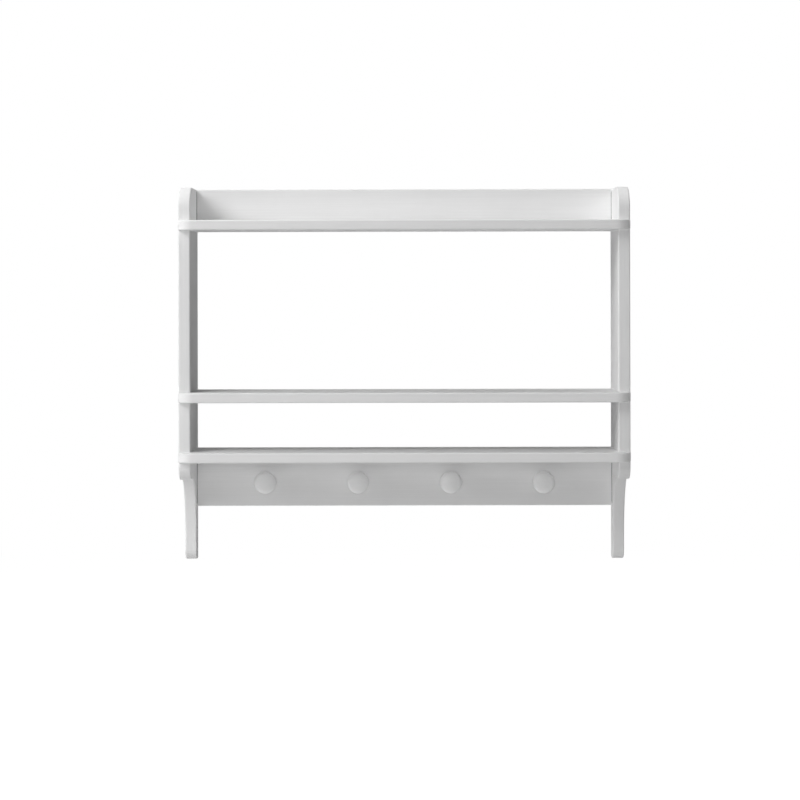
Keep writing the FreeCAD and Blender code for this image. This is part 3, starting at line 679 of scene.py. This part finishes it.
def join_beads(name, beads, material):
    """Many beads as one piece: its doubled points merged, its faces outward, its skin smooth."""
    points, faces, count = [], [], 0
    for some_points, some_faces in beads:
        points.append(some_points)
        faces.append(some_faces + count)
        count += len(some_points)
    piece = put_mesh(name, np.concatenate(points), np.concatenate(faces))
    merged = bmesh.new()
    merged.from_mesh(piece.data)
    bmesh.ops.remove_doubles(merged, verts=merged.verts, dist=MERGE_DISTANCE)
    bmesh.ops.recalc_face_normals(merged, faces=merged.faces)
    merged.to_mesh(piece.data)
    merged.free()
    piece.data.materials.append(material)
    piece.data.polygons.foreach_set("use_smooth", np.ones(len(piece.data.polygons), bool))
    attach(piece, "root")


def need(nodes):
    """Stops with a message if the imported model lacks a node."""
    missing = [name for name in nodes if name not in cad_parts]
    if missing:
        raise RuntimeError(f"the packed model has no {missing}")


def nodes_ending(*ends):
    """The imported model's nodes whose names have one of these ends, of which each must occur."""
    found = []
    for end in ends:
        names = [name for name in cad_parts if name.endswith(end)]
        if not names:
            raise RuntimeError(f"the packed model has no node that ends in {end}")
        found.append(names)
    return found


# One operator for each piece or group of like pieces.


class RAIL_OT_paint_panels(bpy.types.Operator):
    """Paint the two side panels, brushed up and down"""

    bl_idname = "rail.paint_panels"
    bl_label = "Paint the side panels"

    def execute(self, context):
        need(PANELS)
        for panel, side in zip(PANELS, ("left", "right")):
            dress((panel,), painted(f"Paint on the {side} panel", UPRIGHT))
        return {"FINISHED"}


class RAIL_OT_paint_shelves(bpy.types.Operator):
    """Paint the three shelves, brushed from end to end"""

    bl_idname = "rail.paint_shelves"
    bl_label = "Paint the shelves"

    def execute(self, context):
        need(SHELVES)
        dress(SHELVES, painted("Paint on the shelves", LYING))
        return {"FINISHED"}


class RAIL_OT_paint_boards(bpy.types.Operator):
    """Paint the backboard and the peg board, brushed from end to end"""

    bl_idname = "rail.paint_boards"
    bl_label = "Paint the boards"

    def execute(self, context):
        need(BOARDS)
        dress(BOARDS, painted("Paint on the boards"))
        return {"FINISHED"}


class RAIL_OT_paint_pegs(bpy.types.Operator):
    """Paint the four turned pegs"""

    bl_idname = "rail.paint_pegs"
    bl_label = "Paint the pegs"

    def execute(self, context):
        need(PEGS)
        dress(PEGS, painted("Paint on the pegs", grain=False, turned=True))
        return {"FINISHED"}


class RAIL_OT_fill_corners(bpy.types.Operator):
    """Run a bead of filler, or a dark bead of painted shade in the gap at the boards' ends, along
    every inside corner
    """

    bl_idname = "rail.fill_corners"
    bl_label = "Fill the corners"

    def execute(self, context):
        need(PANELS + SHELVES + BOARDS)
        filler = context.scene.rail_filler
        sides = ((high(PANELS[0])[0], 1), (low(PANELS[1])[0], -1))
        front = low(PANELS[0])[1] + SET_BACK

        def run(made, start, end, first, second):
            made.append(bead(start, end, first, second, filler.board_radius,
                             filler.unevenness, len(made) + 1))

        beads, joints = [], []
        for shelf in SHELVES:
            back = high(shelf)[1]
            for x, inward in sides:
                for z, way in ((high(shelf)[2], 1), (low(shelf)[2], -1)):
                    run(beads, (x, front, z), (x, back, z), (inward, 0, 0), (0, 0, way))
        for board, shelf, way in (("backboard", "top_shelf", 1),
                                  ("peg_board", "bottom_shelf", -1)):
            face = low(board)[1]
            edge = high if way > 0 else low
            meets, far = edge(shelf)[2], edge(board)[2] - way * SET_BACK
            run(beads, (sides[0][0], face, meets), (sides[1][0], face, meets),
                (0, -1, 0), (0, 0, way))
            for x, inward in sides:
                run(joints, (x, face, meets), (x, face, far), (inward, 0, 0), (0, -1, 0))
        join_beads("corner_beads", beads, filler_paint())
        # The dark beads at the boards' ends are painted shade: their colour stands in for the
        # shadow in the gap between a board's end and a panel.
        joint_shade_paint = painted("Painted shade in joints", grain=False, body=tuple(filler.joint_shade))
        join_beads("board_end_joints", joints, joint_shade_paint)
        return {"FINISHED"}


class RAIL_OT_seat_pegs(bpy.types.Operator):
    """Run a ring of filler round every peg where it stands on its board"""

    bl_idname = "rail.seat_pegs"
    bl_label = "Seat the pegs"

    foot_radius: bpy.props.FloatProperty(
        name="Peg foot", description="Radius of a peg where it stands on the board",
        subtype="DISTANCE", unit="LENGTH", default=10 * MM,
    )

    def execute(self, context):
        need(PEGS + ("peg_board",))
        filler = context.scene.rail_filler
        face = low("peg_board")[1]
        rings = []
        for index, peg in enumerate(PEGS):
            middle = (low(peg) + high(peg)) / 2
            rings.append(ring_bead((middle[0], face, middle[2]), self.foot_radius,
                                   filler.peg_radius, filler.unevenness, index))
        join_beads("peg_rings", rings, filler_paint())
        return {"FINISHED"}


class RAIL_OT_dowels(bpy.types.Operator):
    """Give the hidden dowels their bare birch"""

    bl_idname = "rail.dowels"
    bl_label = "Dowels"

    def execute(self, context):
        (dowels,) = nodes_ending("_dowels")
        dress(dowels, bare_birch())
        return {"FINISHED"}


class RAIL_OT_hardware(bpy.types.Operator):
    """Give the screws and the hanger plates their zinc plating"""

    bl_idname = "rail.hardware"
    bl_label = "Screws and hanger plates"

    def execute(self, context):
        screws, plates = nodes_ending("_screws", "_hanger_plate")
        dress(screws, zinc_plating("Zinc on screws", SCREW_MARKS))
        dress(plates, zinc_plating("Zinc on plates", PLATE_MARKS))
        return {"FINISHED"}


# Soft lamps: name, place, width and height, watts. The sides and the back have lamps of
# their own.
LAMPS = (
    ("Key", (-1.9, -2.2, 1.6), (1.6, 1.6), 46.0),
    ("Upper left", (-2.2, -0.7, 1.4), (1.4, 1.4), 27.0),
    ("Front", (0.0, -3.2, -0.15), (1.2, 1.0), 18.5),
    ("Left", (-2.4, -1.0, -0.4), (1.2, 1.5), 10.5),
    ("Low left", (-0.75, -0.55, -1.4), (0.9, 0.5), 1.2),
    ("Overhead", (0.0, 0.1, 2.2), (1.5, 0.8), 12.0),
    ("Overhead right", (0.9, 0.1, 2.2), (1.2, 0.8), 12.0),
    ("Right side", (2.6, -0.1, -0.25), (0.2, 1.6), 8.0),
    ("Back", (0.0, 8.0, -0.2), (1.6, 0.3), 230.0),
)

# These two stay out of reflections, since they would mirror in every flat face.
MATT_LAMPS = ("Front", "Back")

WHITE = (1.0, 1.0, 1.0, 1.0)
FLOOR_GREY = (0.8, 0.8, 0.8, 1.0)
FLOOR_ROUGHNESS = 0.9
FLOOR_REACH = 9.0
FLOOR_POINTS = 61
SENSOR_WIDTH = 36.0


def soft_lamp(name, place, target, size, power):
    """A rectangular lamp that looks at a target."""
    data = bpy.data.lights.new(name, "AREA")
    data.shape = "RECTANGLE"
    data.size, data.size_y = size
    data.energy = power
    lamp = bpy.data.objects.new(name, data)
    bpy.context.scene.collection.objects.link(lamp)
    lamp.location = place
    way = Vector(target) - lamp.location
    lamp.rotation_euler = way.to_track_quat("-Z", "Y").to_euler()
    lamp.visible_glossy = name not in MATT_LAMPS


def seen_directly(tree):
    """1 for camera, glossy and transmission rays, which see the background as it is."""
    path = add(tree, "ShaderNodeLightPath", {})
    either = maths(tree, "MAXIMUM", path["Is Camera Ray"], path["Is Glossy Ray"])
    return maths(tree, "MAXIMUM", either, path["Is Transmission Ray"])


class RAIL_OT_stage(bpy.types.Operator):
    """Set up the floor, the world, the lamps and the camera"""

    bl_idname = "rail.stage"
    bl_label = "Stage"

    def execute(self, context):
        stage = context.scene.rail_stage
        middle = (np.array(CAD_BOX[0]) + np.array(CAD_BOX[1])) / 2
        self.floor(stage)
        self.world(context, stage)
        for name, place, size, power in LAMPS:
            soft_lamp(name, place, middle, size, power * stage.brightness)
        self.camera(context, stage)
        return {"FINISHED"}

    def floor(self, stage):
        """A level sheet: a grid of points over a square, all at the floor's height."""
        across = np.linspace(-FLOOR_REACH, FLOOR_REACH, FLOOR_POINTS)
        x, y = np.meshgrid(across, across, indexing="ij")
        points = np.stack([x, y, np.full_like(x, -stage.floor_drop)], axis=-1).reshape(-1, 3)
        floor = put_mesh("floor", points, grid_faces(FLOOR_POINTS, FLOOR_POINTS, False))
        material, tree, surface = new_material("Pale floor")
        feed(tree, surface, {
            "Base Color": FLOOR_GREY,
            "Roughness": FLOOR_ROUGHNESS,
            "Specular IOR Level": 0.0,
            "Emission Color": WHITE,
            "Emission Strength": maths(tree, "MULTIPLY", seen_directly(tree), stage.floor_white),
        })
        floor.data.materials.append(material)

    def world(self, context, stage):
        """White where it is seen, and a weak light from all around."""
        world = bpy.data.worlds.new("Studio")
        context.scene.world = world
        world.use_nodes = True
        tree = world.node_tree
        background = next(node for node in tree.nodes if node.type == "BACKGROUND")
        strength = ranged(tree, seen_directly(tree), stage.ambient, 1.0)
        feed(tree, background, {"Color": WHITE, "Strength": strength})

    def camera(self, context, stage):
        """Straight ahead at the object, with the frame shifted down to hold all of it."""
        data = bpy.data.cameras.new("Camera")
        data.lens = stage.lens
        data.sensor_width = SENSOR_WIDTH
        data.shift_x, data.shift_y = stage.frame_shift
        camera = bpy.data.objects.new("Camera", data)
        context.scene.collection.objects.link(camera)
        front = low(PANELS[0])[1]
        camera.location = (0.0, front - stage.eye_distance, stage.eye_height)
        camera.rotation_euler = (math.pi / 2, stage.tilt, 0.0)
        context.scene.camera = camera
        context.scene.view_settings.view_transform = "Standard"


OPERATORS = (
    RAIL_OT_paint_panels,
    RAIL_OT_paint_shelves,
    RAIL_OT_paint_boards,
    RAIL_OT_paint_pegs,
    RAIL_OT_fill_corners,
    RAIL_OT_seat_pegs,
    RAIL_OT_dowels,
    RAIL_OT_hardware,
    RAIL_OT_stage,
)


class RAIL_PT_panel(bpy.types.Panel):
    """Lists the pieces and their settings"""

    bl_idname = "RAIL_PT_panel"
    bl_label = "Peg rail with shelf"
    bl_space_type = "VIEW_3D"
    bl_region_type = "UI"
    bl_category = "Peg rail"

    def draw(self, context):
        for name, settings in SETTINGS.items():
            box = self.layout.box()
            for prop in settings.__annotations__:
                box.prop(getattr(context.scene, name), prop)
        for operator in OPERATORS:
            self.layout.operator(operator.bl_idname)


def register():
    for settings in SETTINGS.values():
        bpy.utils.register_class(settings)
    for operator in OPERATORS:
        bpy.utils.register_class(operator)
    bpy.utils.register_class(RAIL_PT_panel)
    for name, settings in SETTINGS.items():
        setattr(bpy.types.Scene, name, bpy.props.PointerProperty(type=settings))


def unregister():
    for name in SETTINGS:
        delattr(bpy.types.Scene, name)
    bpy.utils.unregister_class(RAIL_PT_panel)
    for operator in reversed(OPERATORS):
        bpy.utils.unregister_class(operator)
    for settings in reversed(SETTINGS.values()):
        bpy.utils.unregister_class(settings)


def main():
    register()
    for operator in OPERATORS:
        space, name = operator.bl_idname.split(".")
        getattr(getattr(bpy.ops, space), name)()


if __name__ == "__main__":
    main()
